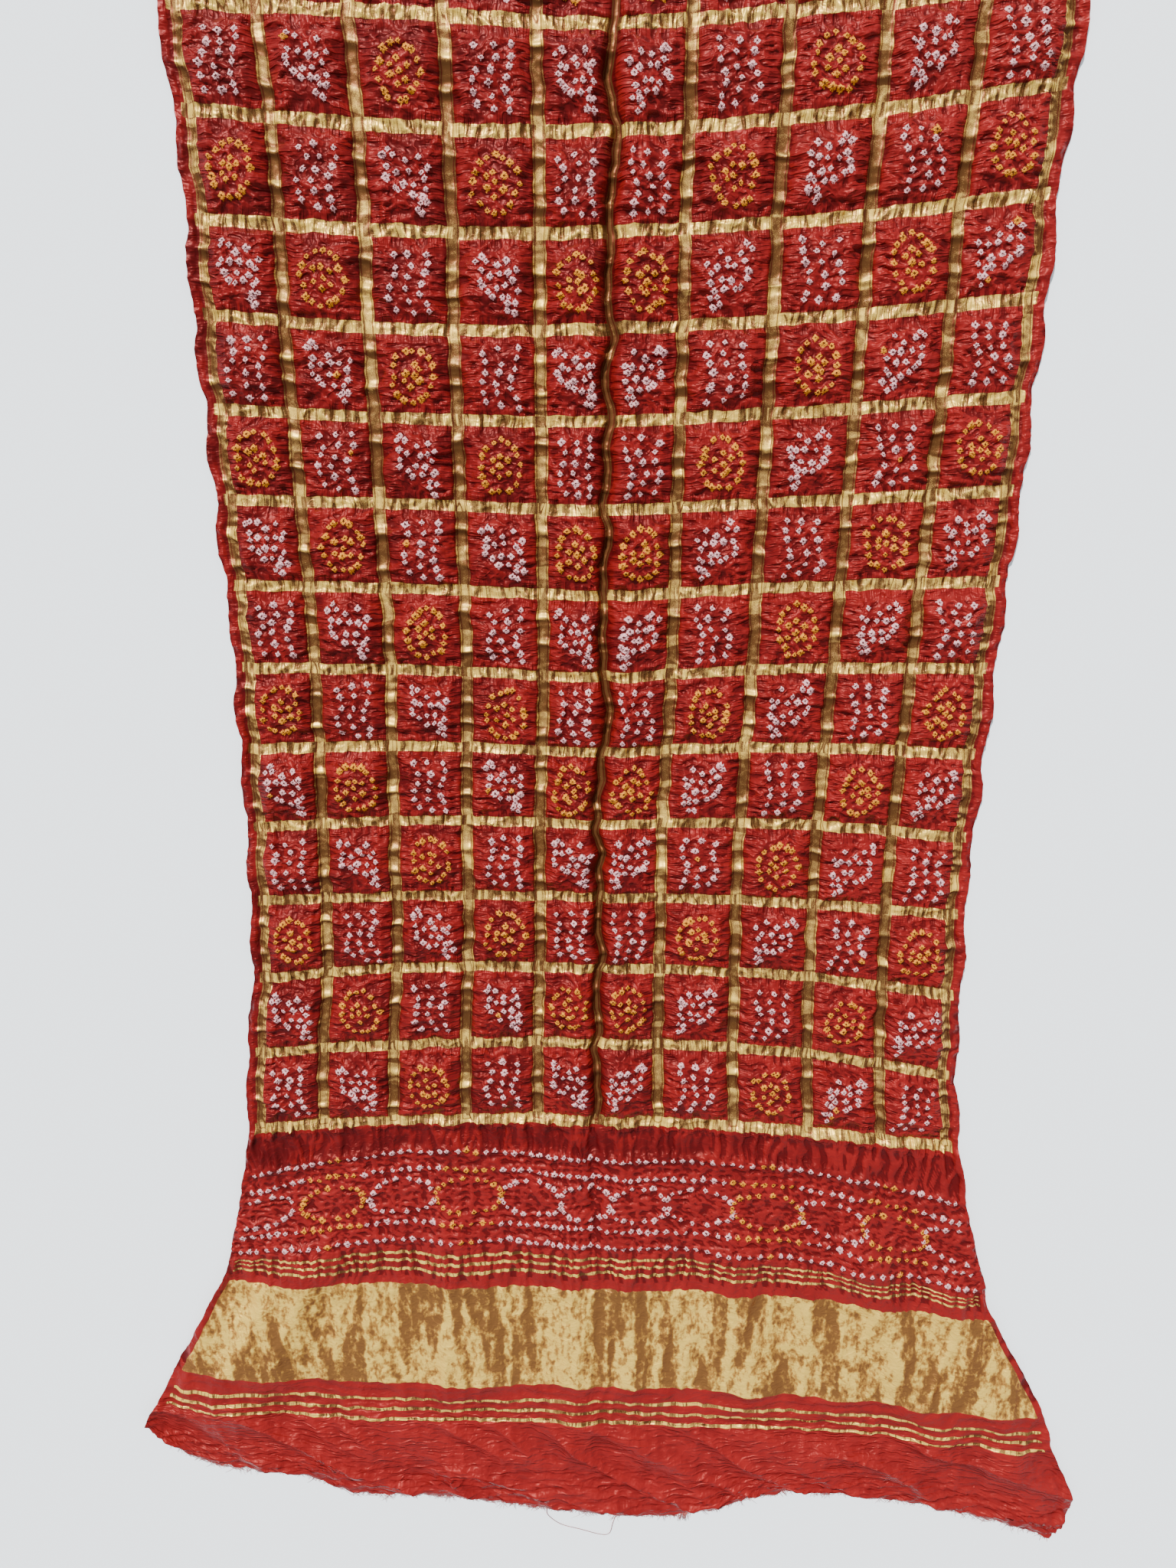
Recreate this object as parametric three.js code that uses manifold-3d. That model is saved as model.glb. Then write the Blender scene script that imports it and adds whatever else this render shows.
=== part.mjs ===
// A bandhani wedding cloth of red satin silk, tie-dyed in a net of gold checks, lying face up.
// Millimetres, +Z up. +Y points to the cut top end, -Y to the raw frayed end.
import * as THREE from 'three';
import { mergeVertices } from 'three/addons/utils/BufferGeometryUtils.js';
import Module from 'manifold-3d';

// Driving dimensions
const sheetThickness = 1.4;
const seamGap = 0.45; // straight down; 0.3 where the edge slopes most
const checkColumns = 10; // gold checks across the cloth
const checkRows = 13; // gold checks along the shown length
const checkPitch = 76; // one check along the cloth, drawn in by the ties
const selvedge = 5.2; // half the width, counted in check columns
const originX = 21.7; // the middle of the outline, beside the centre crease
const originY = -331.6;

const silkRed = '#8c1c1f';
const frayRed = '#a82a2a';

// Share of the half width at which each line across the cloth lies: the centre crease is drawn in,
// and the last gold stripe runs just inside the selvedge.
const widthShare = [[0, 0], [1, 0.168], [2, 0.374], [3, 0.58], [4, 0.781], [5, 0.971], [selvedge, 1]];

// Where the woven lines lie. along: distance down the cloth; left, middle, right: x of the two
// selvedges and the centre crease; then y of the line at five even places from left to right.
const lines = [
  // along, left, middle, right,   yLeft, yLeftHalf, yMiddle, yRightHalf, yRight
  [-60, -374, 0, 386, 442, 434, 426, 444, 464], // cut top end
  [0, -368, -1, 381, 376, 370, 363, 379, 400],
  [76, -360, 0, 377, 299, 287, 285, 301, 327],
  [152, -355, 0, 371, 216, 208, 209, 222, 245],
  [228, -354, 1, 370, 141, 131, 133, 145, 164],
  [380, -345, 1, 364, -12, -14, -17, -7, 5],
  [532, -337, 2, 357, -161, -161, -165, -155, -153],
  [684, -335, -2, 351, -313, -303, -304, -302, -314],
  [760, -335, -1, 350, -386, -378, -376, -380, -391],
  [836, -337, -1, 353, -466, -451, -449, -454, -475],
  [912, -347, -1, 357, -546, -532, -528, -535, -560],
  [988, -351, 0, 367, -628, -615, -612, -620, -640], // last gold stripe
  [1029, -358, 0, 379, -682, -650, -656, -664, -704], // first line of dots
  [1130, -377, 0, 408, -771, -752, -756, -768, -804], // last line of dots
  [1165, -383, 1, 411, -792, -790, -790, -797, -822], // gold hairlines
  [1180, -388, 0, 420, -804, -805, -807, -814, -838], // gold band begins
  [1302, -445, 1, 487, -914, -928, -928, -939, -962], // gold band ends
  [1348, -466, 0, 499, -957, -973, -974, -982, -1004], // gold hairlines
  [1400, -475, 0, 525, -975, -1020, -1030, -1025, -1060],
  [1455, -481, 0, 510, -984, -1073, -1094, -1066, -1122], // raw end
];
const bandStart = 1180;
const bandEnd = 1302;
const plainEnd = 1348;
const rawEnd = 1455;
const topEnd = -60;

// The raw end's ragged outline: check columns from the centre crease, then y.
const rawOutline = [
  [-selvedge, -984], [-4.6, -1028], [-4, -1041], [-3.3, -1051], [-2.8, -1073], [-1.9, -1074],
  [-0.7, -1088], [0, -1094], [1.2, -1094], [2.2, -1064], [3.1, -1069], [4.2, -1091], [selvedge, -1122],
];

// Raised creases, each a soft ridge; from and to: its ends, in check columns and distance along.
// height is the crest, leftWidth and rightWidth how far each flank runs.
const creases = [
  { from: [-5.15, 1215], to: [-4.9, 1350], height: 6, leftWidth: 8, rightWidth: 30 },
  { from: [-4.1, 1120], to: [-4.5, 1360], height: 10, leftWidth: 18, rightWidth: 42 },
  { from: [-3.75, 1120], to: [-3.95, 1320], height: 6, leftWidth: 14, rightWidth: 20 },
  { from: [-2.1, 1110], to: [-1.75, 1330], height: 7, leftWidth: 22, rightWidth: 26 },
  { from: [-1.6, 1150], to: [-1.35, 1320], height: 5, leftWidth: 16, rightWidth: 22 },
  { from: [-0.3, 1130], to: [-0.2, 1400], height: 6, leftWidth: 20, rightWidth: 20 },
  { from: [0.45, 1150], to: [0.5, 1330], height: 5, leftWidth: 18, rightWidth: 30 },
  { from: [1.85, 1120], to: [1.9, 1330], height: 8, leftWidth: 26, rightWidth: 24 },
  { from: [2.65, 1140], to: [2.9, 1320], height: 5, leftWidth: 24, rightWidth: 26 },
  { from: [3.4, 1100], to: [3.85, 1370], height: 12, leftWidth: 26, rightWidth: 30 },
  { from: [4.5, 1130], to: [4.6, 1380], height: 10, leftWidth: 24, rightWidth: 28 },
  { from: [-4.6, 1360], to: [-2.6, 1425], height: 6, leftWidth: 26, rightWidth: 24 },
  { from: [-2.9, 1350], to: [-1.2, 1420], height: 5, leftWidth: 22, rightWidth: 24 },
  { from: [0.4, 1385], to: [3.6, 1405], height: 5, leftWidth: 24, rightWidth: 24 },
  { from: [4.3, 1385], to: [5, 1425], height: 9, leftWidth: 24, rightWidth: 28 },
];

// Puckered ground
const moundHeights = [5.5, 7.5, 4.5, 6.5, 5, 8, 6]; // one tied check's rise, taken in turn
const crestBesideCentre = 4.5; // the cloth stands up on both sides of the centre crease
const crestOffset = 0.34; // in check columns
const gatherHeight = 3.2; // pleats of the plain strip and of the dot border
const gatherPitch = 1.4; // in check columns
const selvedgeCurl = 4;
const selvedgeNotch = 2; // each gold line pulls the selvedge in by this
const flatEndDepth = 26; // the cloth lies flat this near its two ends

// Frayed end
const stripDepth = 3;
const threadCount = 150;
const threadThickness = 0.9;
const threadLengths = [7, 10, 6, 13, 8, 9, 5.5, 11, 7.5, 6.5, 12]; // taken in turn
const threadLeans = [-0.25, 0.35, 0.1, -0.45, 0.5, -0.1, 0.2]; // sideways per length, taken in turn
const tuft = { across: 1.17, threads: 6, spread: 0.035, length: 12 };
// The pulled thread hangs out of the edge in a loop: check columns, then distance past the edge.
const loopThread = [
  [-0.62, 1.5], [-0.6, 10], [-0.42, 21], [-0.12, 26], [0.14, 32], [0.26, 28], [0.3, 14], [0.34, 1.5],
];
const loopSteps = 18;

// A smooth curve through [position, value] pairs.
function curve(pairs, at) {
  const last = pairs.length - 1;
  if (at <= pairs[0][0]) return pairs[0][1];
  if (at >= pairs[last][0]) return pairs[last][1];
  let k = 0;
  while (at > pairs[k + 1][0]) k += 1;
  const slopeAt = (i) => {
    const before = pairs[Math.max(i - 1, 0)];
    const after = pairs[Math.min(i + 1, last)];
    return (after[1] - before[1]) / (after[0] - before[0]);
  };
  const span = pairs[k + 1][0] - pairs[k][0];
  const t = (at - pairs[k][0]) / span;
  const rise = t * t * (3 - 2 * t);
  const leave = t * (1 - t) * (1 - t) * span * slopeAt(k);
  const arrive = t * t * (1 - t) * span * slopeAt(k + 1);
  return pairs[k][1] * (1 - rise) + pairs[k + 1][1] * rise + leave - arrive;
}

const column = (index) => lines.map((line) => [line[0], line[index]]);
const leftEdge = column(1);
const middleLine = column(2);
const rightEdge = column(3);
const heightsAcross = [4, 5, 6, 7, 8].map(column);

// How far a place is past one limit on its way to another, from 0 to 1, eased at both ends.
function ease(from, to, at) {
  const t = Math.min(Math.max((at - from) / (to - from), 0), 1);
  return t * t * (3 - 2 * t);
}

// y of the woven line that lies `along` down the cloth, at `across` check columns.
function lineY(across, along) {
  const five = heightsAcross.map((pairs, k) => [(k / 2 - 1) * selvedge, curve(pairs, along)]);
  return curve(five, across);
}

// Plan position of a point of the cloth.
function place(across, along) {
  const middle = curve(middleLine, along);
  const edge = curve(across < 0 ? leftEdge : rightEdge, along);
  const inChecks = 1 - ease(checkRows * checkPitch, checkRows * checkPitch + 30, along);
  const notch = selvedgeNotch * inChecks * Math.cos((2 * Math.PI * along) / checkPitch);
  const nearEdge = ease(4.6, selvedge, Math.abs(across));
  const drawnIn = Math.sign(across) * notch * nearEdge;
  const x = middle + (edge - middle) * curve(widthShare, Math.abs(across)) - drawnIn;
  if (along <= plainEnd) return [x, lineY(across, along)];
  const past = (along - plainEnd) / (rawEnd - plainEnd);
  return [x, lineY(across, plainEnd) * (1 - past) + curve(rawOutline, across) * past];
}

// A crease's rise at a point, from its distance to the crest line measured across the cloth.
function creaseRise(crease, across, along) {
  const [fromX, fromY] = place(...crease.from);
  const [toX, toY] = place(...crease.to);
  const [x, y] = place(across, along);
  const length = Math.hypot(toX - fromX, toY - fromY);
  const dirX = (toX - fromX) / length;
  const dirY = (toY - fromY) / length;
  const run = (x - fromX) * dirX + (y - fromY) * dirY;
  const side = (y - fromY) * dirX - (x - fromX) * dirY;
  const width = side > 0 ? crease.rightWidth : crease.leftWidth;
  const taper = ease(-25, 30, run) * (1 - ease(length - 30, length + 25, run));
  return crease.height * taper * Math.exp(-((side / width) ** 2));
}

// Height of the cloth's underside above the surface: never below it, and flat where it touches.
function underside(across, along) {
  const row = along / checkPitch;
  const tied = ease(-0.05, 0, row) * (1 - ease(checkRows, checkRows + 0.1, row));
  const cell = Math.floor(across + checkColumns / 2) * 3 + Math.floor(row) * 5;
  const mound = moundHeights[((cell % 7) + 7) % 7];
  const inColumn = Math.sin(Math.PI * (across - Math.floor(across)));
  const inRow = Math.sin(Math.PI * (row - Math.floor(row)));
  const inside = 1 - ease(5, 5.1, Math.abs(across));
  let height = tied * mound * ease(0, 0.8, inColumn) * ease(0, 1, inRow) * inside;

  const fromCrest = (Math.abs(across) - crestOffset) / 0.2;
  const creased = 1 - ease(bandStart - 60, bandStart, along);
  height += creased * crestBesideCentre * Math.exp(-fromCrest * fromCrest);

  const gathered = ease(checkRows, checkRows + 0.5, row)
    * (1 - ease(bandStart - 20, bandStart + 30, along));
  height += gathered * gatherHeight * (1 - Math.cos((2 * Math.PI * across) / gatherPitch)) * 0.5;

  const edgeWave = 0.5 + 0.5 * Math.cos((2 * Math.PI * along) / (checkPitch * 2.6));
  height += selvedgeCurl * edgeWave * ease(5, selvedge, Math.abs(across));

  for (const crease of creases) height += creaseRise(crease, across, along);

  const fromEnds = ease(topEnd + flatEndDepth, topEnd + 2 * flatEndDepth, along)
    * (1 - ease(rawEnd - flatEndDepth, rawEnd - 6, along));
  return Math.max(0, height - 0.4) * fromEnds;
}

// Even steps between the named places, `counts` of them in each stretch.
function stepsBetween(places, counts) {
  const steps = [places[0]];
  for (let k = 0; k < counts.length; k += 1) {
    for (let i = 1; i <= counts[k]; i += 1) {
      steps.push(places[k] + ((places[k + 1] - places[k]) * i) / counts[k]);
    }
  }
  return steps;
}

const acrossSteps = stepsBetween(
  [-selvedge, -5, -4, -3, -2, -1, -0.34, -0.12, 0, 0.12, 0.34, 1, 2, 3, 4, 5, selvedge],
  [1, 3, 3, 3, 3, 2, 1, 1, 1, 1, 2, 3, 3, 3, 3, 1],
);
const alongSteps = stepsBetween(
  [
    topEnd, topEnd + flatEndDepth, 0, checkRows * checkPitch, 1029, 1130,
    bandStart, bandEnd, plainEnd, rawEnd,
  ],
  [1, 2, checkRows * 4, 2, 4, 2, 5, 2, 5],
);

// A closed mesh from a grid of points on its upper and its lower side.
function closedSheet(columns, rows, upper, lower) {
  const positions = [];
  for (const side of [upper, lower]) {
    for (let j = 0; j < rows; j += 1) {
      for (let i = 0; i < columns; i += 1) positions.push(...side(i, j));
    }
  }
  const top = (i, j) => j * columns + i;
  const under = (i, j) => rows * columns + j * columns + i;
  const faces = [];
  const quad = (a, b, c, d) => faces.push(a, b, c, a, c, d);
  for (let j = 0; j < rows - 1; j += 1) {
    for (let i = 0; i < columns - 1; i += 1) {
      quad(top(i, j), top(i, j + 1), top(i + 1, j + 1), top(i + 1, j));
      quad(under(i, j), under(i + 1, j), under(i + 1, j + 1), under(i, j + 1));
    }
  }
  const right = columns - 1;
  const low = rows - 1;
  for (let j = 0; j < low; j += 1) {
    quad(top(0, j), under(0, j), under(0, j + 1), top(0, j + 1));
    quad(top(right, j + 1), under(right, j + 1), under(right, j), top(right, j));
  }
  for (let i = 0; i < right; i += 1) {
    quad(top(i + 1, 0), under(i + 1, 0), under(i, 0), top(i, 0));
    quad(top(i, low), under(i, low), under(i + 1, low), top(i + 1, low));
  }
  const geometry = new THREE.BufferGeometry();
  geometry.setAttribute('position', new THREE.Float32BufferAttribute(positions, 3));
  geometry.setIndex(faces);
  return geometry;
}

function makeCloth() {
  const point = (lift) => (i, j) => {
    const across = acrossSteps[i];
    const along = alongSteps[j];
    const [x, y] = place(across, along);
    return [x, y, underside(across, along) + lift];
  };
  return closedSheet(acrossSteps.length, alongSteps.length, point(sheetThickness), point(0));
}

// The narrow strip parted from the cloth's raw edge that holds the loose thread ends.
function makeStrip() {
  const steps = acrossSteps.slice(1, -1);
  const point = (lift) => (i, j) => {
    const [x, y] = place(steps[i], rawEnd);
    return [x, y - seamGap - j * stripDepth, lift];
  };
  return closedSheet(steps.length, 2, point(sheetThickness), point(0));
}

// One loose thread with three sides, lying on the surface along a route of [x, y] points.
function makeThread(route) {
  const half = threadThickness / 2;
  const positions = [];
  route.forEach(([x, y], k) => {
    const [backX, backY] = route[Math.max(k - 1, 0)];
    const [nextX, nextY] = route[Math.min(k + 1, route.length - 1)];
    const length = Math.hypot(nextX - backX, nextY - backY);
    const sideX = (-(nextY - backY) / length) * half;
    const sideY = ((nextX - backX) / length) * half;
    positions.push(x + sideX, y + sideY, 0, x - sideX, y - sideY, 0, x, y, threadThickness);
  });
  const faces = [];
  const end = 3 * (route.length - 1);
  for (let ring = 0; ring < end; ring += 3) {
    for (let i = 0; i < 3; i += 1) {
      const next = (i + 1) % 3;
      faces.push(ring + i, ring + 3 + i, ring + 3 + next, ring + i, ring + 3 + next, ring + next);
    }
  }
  faces.push(0, 1, 2, end, end + 2, end + 1);
  const geometry = new THREE.BufferGeometry();
  geometry.setAttribute('position', new THREE.Float32BufferAttribute(positions, 3));
  geometry.setIndex(faces);
  return geometry;
}

// A point of the raw edge, on the straight stretch between two of the cloth's steps.
function rawEdgePoint(across) {
  const k = acrossSteps.findIndex((step) => step > across);
  const [leftX, leftY] = place(acrossSteps[k - 1], rawEnd);
  const [rightX, rightY] = place(acrossSteps[k], rawEnd);
  const share = (across - acrossSteps[k - 1]) / (acrossSteps[k] - acrossSteps[k - 1]);
  return [leftX + (rightX - leftX) * share, leftY + (rightY - leftY) * share];
}

function threadRoutes() {
  const routes = [];
  const hang = (across, length, lean) => {
    const [x, edgeY] = rawEdgePoint(across);
    const rootY = edgeY - seamGap - stripDepth / 2;
    const bend = lean * 0.3 * length;
    const tipY = rootY - length - stripDepth / 2;
    routes.push([[x, rootY], [x + bend, rootY - length * 0.55], [x + lean * length, tipY]]);
  };
  for (let k = 0; k < threadCount; k += 1) {
    const across = 10 * ((k + 0.5) / threadCount - 0.5);
    const inLoop = across > loopThread[0][0] - 0.05 && across < loopThread.at(-1)[0] + 0.05;
    const inTuft = Math.abs(across - tuft.across) < tuft.spread * tuft.threads * 0.6;
    if (inTuft) continue;
    const length = threadLengths[k % threadLengths.length];
    hang(across, inLoop ? 4 : length, inLoop ? 0 : threadLeans[k % threadLeans.length] * 0.5);
  }
  for (let k = 0; k < tuft.threads; k += 1) {
    const offset = k - (tuft.threads - 1) / 2;
    hang(tuft.across + offset * tuft.spread, tuft.length - Math.abs(offset), offset * 0.05);
  }
  return routes;
}

function loopRoute() {
  const points = loopThread.map(([across, past]) => {
    const [x, y] = rawEdgePoint(across);
    return new THREE.Vector3(x, y - seamGap - past, 0);
  });
  return new THREE.CatmullRomCurve3(points).getPoints(loopSteps).map((point) => [point.x, point.y]);
}

const wasm = await Module();
wasm.setup();

function toSolid(geometry) {
  const merged = mergeVertices(geometry);
  return new wasm.Manifold(new wasm.Mesh({
    numProp: 3,
    vertProperties: new Float32Array(merged.attributes.position.array),
    triVerts: new Uint32Array(merged.index.array),
  }));
}

function fromSolid(solid) {
  const mesh = solid.getMesh();
  const geometry = new THREE.BufferGeometry();
  geometry.setAttribute('position', new THREE.BufferAttribute(mesh.vertProperties, 3));
  geometry.setIndex(new THREE.BufferAttribute(mesh.triVerts, 1));
  return geometry;
}

function makeFrayedEdge() {
  const threads = [...threadRoutes(), loopRoute()].map((route) => toSolid(makeThread(route)));
  return fromSolid(wasm.Manifold.union([toSolid(makeStrip()), ...threads]));
}

function addPiece(group, name, geometry, color, roughness) {
  const material = new THREE.MeshStandardMaterial({ color, roughness, metalness: 0 });
  const mesh = new THREE.Mesh(geometry, material);
  mesh.name = name;
  mesh.position.set(-originX, -originY, 0);
  group.add(mesh);
}

const bandhaniCloth = new THREE.Group();
addPiece(bandhaniCloth, 'cloth', makeCloth(), silkRed, 0.5);
addPiece(bandhaniCloth, 'frayed_edge', makeFrayedEdge(), frayRed, 0.8);

export default bandhaniCloth;
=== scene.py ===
import math

import bpy
import numpy as np
from mathutils import Matrix
from mathutils.kdtree import KDTree


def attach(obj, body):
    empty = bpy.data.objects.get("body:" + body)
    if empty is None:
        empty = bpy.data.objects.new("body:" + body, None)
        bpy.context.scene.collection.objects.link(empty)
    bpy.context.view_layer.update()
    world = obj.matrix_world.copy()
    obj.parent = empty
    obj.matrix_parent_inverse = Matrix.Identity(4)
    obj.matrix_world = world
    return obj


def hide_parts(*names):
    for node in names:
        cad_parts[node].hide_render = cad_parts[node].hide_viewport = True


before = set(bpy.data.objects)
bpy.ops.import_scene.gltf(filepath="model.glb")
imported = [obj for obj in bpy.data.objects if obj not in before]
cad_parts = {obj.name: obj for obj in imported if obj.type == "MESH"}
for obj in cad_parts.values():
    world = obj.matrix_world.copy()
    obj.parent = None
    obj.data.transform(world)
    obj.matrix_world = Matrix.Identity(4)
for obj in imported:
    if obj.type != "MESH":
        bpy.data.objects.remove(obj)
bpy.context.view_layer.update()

bpy.ops.object.select_all(action="DESELECT")

# Camera, light and surface

view = {
    "place": (-0.0348, 0.3316, 1.070),   # above the upper half of the cloth, metres
    "tilt": -14.0,                       # degrees towards the raw end
    "roll": 0.75,
    "lens": 27.07,                       # mm
    "frameHeight": 36.0,                 # mm
}

light = {
    "sunTurn": (40.0, -22.0),            # degrees from overhead, to the top and to the left
    "sunStrength": 8.0,
    "sunSpread": 3.0,                    # degrees
    "roomStrength": 0.88,
    "roomColour": (0.86, 0.93, 1.0),
    "surfaceColour": (0.91, 0.94, 0.96),
    "surfaceRoughness": 0.9,
    "surfaceSize": 8.0,                  # metres
    "surfaceDrop": 0.0006,               # how far it lies under the cloth, metres
}


def addCamera():
    cameraData = bpy.data.cameras.new("camera")
    cameraData.sensor_fit = "VERTICAL"
    cameraData.sensor_height = view["frameHeight"]
    cameraData.lens = view["lens"]
    camera = bpy.data.objects.new("camera", cameraData)
    bpy.context.scene.collection.objects.link(camera)
    tilt = Matrix.Rotation(math.radians(view["tilt"]), 4, "X")
    roll = Matrix.Rotation(math.radians(view["roll"]), 4, "Z")
    camera.matrix_world = Matrix.Translation(view["place"]) @ (tilt @ roll)
    bpy.context.scene.camera = camera


def addLight():
    sunData = bpy.data.lights.new("key", "SUN")
    sunData.energy = light["sunStrength"]
    sunData.angle = math.radians(light["sunSpread"])
    sun = bpy.data.objects.new("key", sunData)
    towardsTop, towardsLeft = light["sunTurn"]
    sun.rotation_euler = (math.radians(-towardsTop), math.radians(towardsLeft), 0)
    bpy.context.scene.collection.objects.link(sun)
    room = bpy.data.worlds.new("room")
    room.use_nodes = True
    background = room.node_tree.nodes["Background"]
    background.inputs["Color"].default_value = (*light["roomColour"], 1)
    background.inputs["Strength"].default_value = light["roomStrength"]
    bpy.context.scene.world = room


def addSurface():
    bpy.ops.mesh.primitive_plane_add(size=light["surfaceSize"], location=(0, 0, -light["surfaceDrop"]))
    surface = bpy.context.object
    surface.name = "surface"
    paint = bpy.data.materials.new("pale surface")
    paint.use_nodes = True
    shader = paint.node_tree.nodes["Principled BSDF"]
    shader.inputs["Base Color"].default_value = (*light["surfaceColour"], 1)
    shader.inputs["Roughness"].default_value = light["surfaceRoughness"]
    surface.data.materials.append(paint)
    surface.select_set(False)


addCamera()
addLight()
addSurface()
print("camera, light and surface done")

# Layout of the cloth, in millimetres, as its solid has it

cloth = {
    "checkRows": 13,
    "checkPitch": 76.0,
    "selvedge": 5.2,                     # half the width, in check columns
    "origin": (21.7, -331.6),
    "lift": 0.8,                         # middle of the sheet above its underside
    "topEnd": -60.0,
    "bandStart": 1180.0,
    "bandEnd": 1302.0,
    "plainEnd": 1348.0,
    "rawEnd": 1455.0,
    "flatEnd": 26.0,                     # how far the two ends lie flat
    "rawFlat": 6.0,                      # the raw end's last, wholly flat stretch
}

widthShare = [(0, 0), (1, 0.168), (2, 0.374), (3, 0.58), (4, 0.781), (5, 0.971), (cloth["selvedge"], 1)]

# along; x of the left selvedge, the centre and the right selvedge; y at five even places from left to right
lines = [
    (-60, -374, 0, 386, 442, 434, 426, 444, 464),
    (0, -368, -1, 381, 376, 370, 363, 379, 400),
    (76, -360, 0, 377, 299, 287, 285, 301, 327),
    (152, -355, 0, 371, 216, 208, 209, 222, 245),
    (228, -354, 1, 370, 141, 131, 133, 145, 164),
    (380, -345, 1, 364, -12, -14, -17, -7, 5),
    (532, -337, 2, 357, -161, -161, -165, -155, -153),
    (684, -335, -2, 351, -313, -303, -304, -302, -314),
    (760, -335, -1, 350, -386, -378, -376, -380, -391),
    (836, -337, -1, 353, -466, -451, -449, -454, -475),
    (912, -347, -1, 357, -546, -532, -528, -535, -560),
    (988, -351, 0, 367, -628, -615, -612, -620, -640),
    (1029, -358, 0, 379, -682, -650, -656, -664, -704),
    (1130, -377, 0, 408, -771, -752, -756, -768, -804),
    (1165, -383, 1, 411, -792, -790, -790, -797, -822),
    (1180, -388, 0, 420, -804, -805, -807, -814, -838),
    (1302, -445, 1, 487, -914, -928, -928, -939, -962),
    (1348, -466, 0, 499, -957, -973, -974, -982, -1004),
    (1400, -475, 0, 525, -975, -1020, -1030, -1025, -1060),
    (1455, -481, 0, 510, -984, -1073, -1094, -1066, -1122),
]

# the raw end's ragged outline: check columns, then y
rawOutline = [
    (-5.2, -984), (-4.6, -1028), (-4, -1041), (-3.3, -1051), (-2.8, -1073), (-1.9, -1074),
    (-0.7, -1088), (0, -1094), (1.2, -1094), (2.2, -1064), (3.1, -1069), (4.2, -1091), (5.2, -1122),
]

# raised creases: from across, along; to across, along; height, left width, right width
creases = [
    (-5.15, 1215, -4.9, 1350, 6, 8, 30),
    (-4.1, 1120, -4.5, 1360, 10, 18, 42),
    (-3.75, 1120, -3.95, 1320, 6, 14, 20),
    (-2.1, 1110, -1.75, 1330, 7, 22, 26),
    (-1.6, 1150, -1.35, 1320, 5, 16, 22),
    (-0.3, 1130, -0.2, 1400, 6, 20, 20),
    (0.45, 1150, 0.5, 1330, 5, 18, 30),
    (1.85, 1120, 1.9, 1330, 8, 26, 24),
    (2.65, 1140, 2.9, 1320, 5, 24, 26),
    (3.4, 1100, 3.85, 1370, 12, 26, 30),
    (4.5, 1130, 4.6, 1380, 10, 24, 28),
    (-4.6, 1360, -2.6, 1425, 6, 26, 24),
    (-2.9, 1350, -1.2, 1420, 5, 22, 24),
    (0.4, 1385, 3.6, 1405, 5, 24, 24),
    (4.3, 1385, 5, 1425, 9, 24, 28),
]

pucker = {
    "moundHeights": np.array([5.5, 7.5, 4.5, 6.5, 5, 8, 6]),
    "besideCentre": 4.5,
    "crestOffset": 0.34,                 # place and width of the crests beside the centre, in check columns
    "crestWidth": 0.2,
    "gatherHeight": 3.2,
    "gatherPitch": 1.4,
    "selvedgeCurl": 4.0,
    "selvedgeWave": 2.6,                 # length of the selvedge's rise and fall, in checks
    "selvedgeNotch": 2.0,                # how far each gold line draws the selvedge in
    "notchFrom": 4.6,                    # where the notches start, in check columns
    "notchFade": 30.0,
    "creaseFade": (25.0, 30.0),          # how far a crease fades out past its ends, and inside them
    "flatBelow": 0.4,                    # a lower rise than this lies flat
}


def smoothCurve(pairs, at):
    where, value = (np.array(part, float) for part in zip(*pairs))
    slope = np.empty_like(value)
    slope[1:-1] = (value[2:] - value[:-2]) / (where[2:] - where[:-2])
    slope[0] = (value[1] - value[0]) / (where[1] - where[0])
    slope[-1] = (value[-1] - value[-2]) / (where[-1] - where[-2])
    at = np.clip(np.asarray(at, float), where[0], where[-1])
    k = np.clip(np.searchsorted(where, at, side="right") - 1, 0, len(where) - 2)
    span = where[k + 1] - where[k]
    t = (at - where[k]) / span
    rise = t * t * (3 - 2 * t)
    leave = t * (1 - t) ** 2 * span * slope[k]
    arrive = t * t * (1 - t) * span * slope[k + 1]
    return value[k] * (1 - rise) + value[k + 1] * rise + leave - arrive


def ease(start, end, at):
    t = np.clip((np.asarray(at, float) - start) / (end - start), 0, 1)
    return t * t * (3 - 2 * t)


def column(index):
    return [(line[0], line[index]) for line in lines]


def lineY(across, along):
    # five heights at even places, joined by the same smooth curve, worked out for whole arrays
    five = [smoothCurve(column(k), along) for k in range(4, 9)]
    step = cloth["selvedge"] / 2
    t = np.clip(np.asarray(across, float) / step + 2, 0, 4)
    k = np.clip(np.floor(t).astype(int), 0, 3)
    t = t - k
    table = np.stack(np.broadcast_arrays(*five), axis=-1)
    slope = np.gradient(table, axis=-1)

    def pick(values, index):
        values = np.broadcast_arrays(values, index[..., None])[0]
        index = np.broadcast_to(index, values.shape[:-1])[..., None]
        return np.take_along_axis(values, index, axis=-1)[..., 0]

    rise = t * t * (3 - 2 * t)
    return (pick(table, k) * (1 - rise) + pick(table, k + 1) * rise
            + t * (1 - t) ** 2 * pick(slope, k) - t * t * (1 - t) * pick(slope, k + 1))


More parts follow.
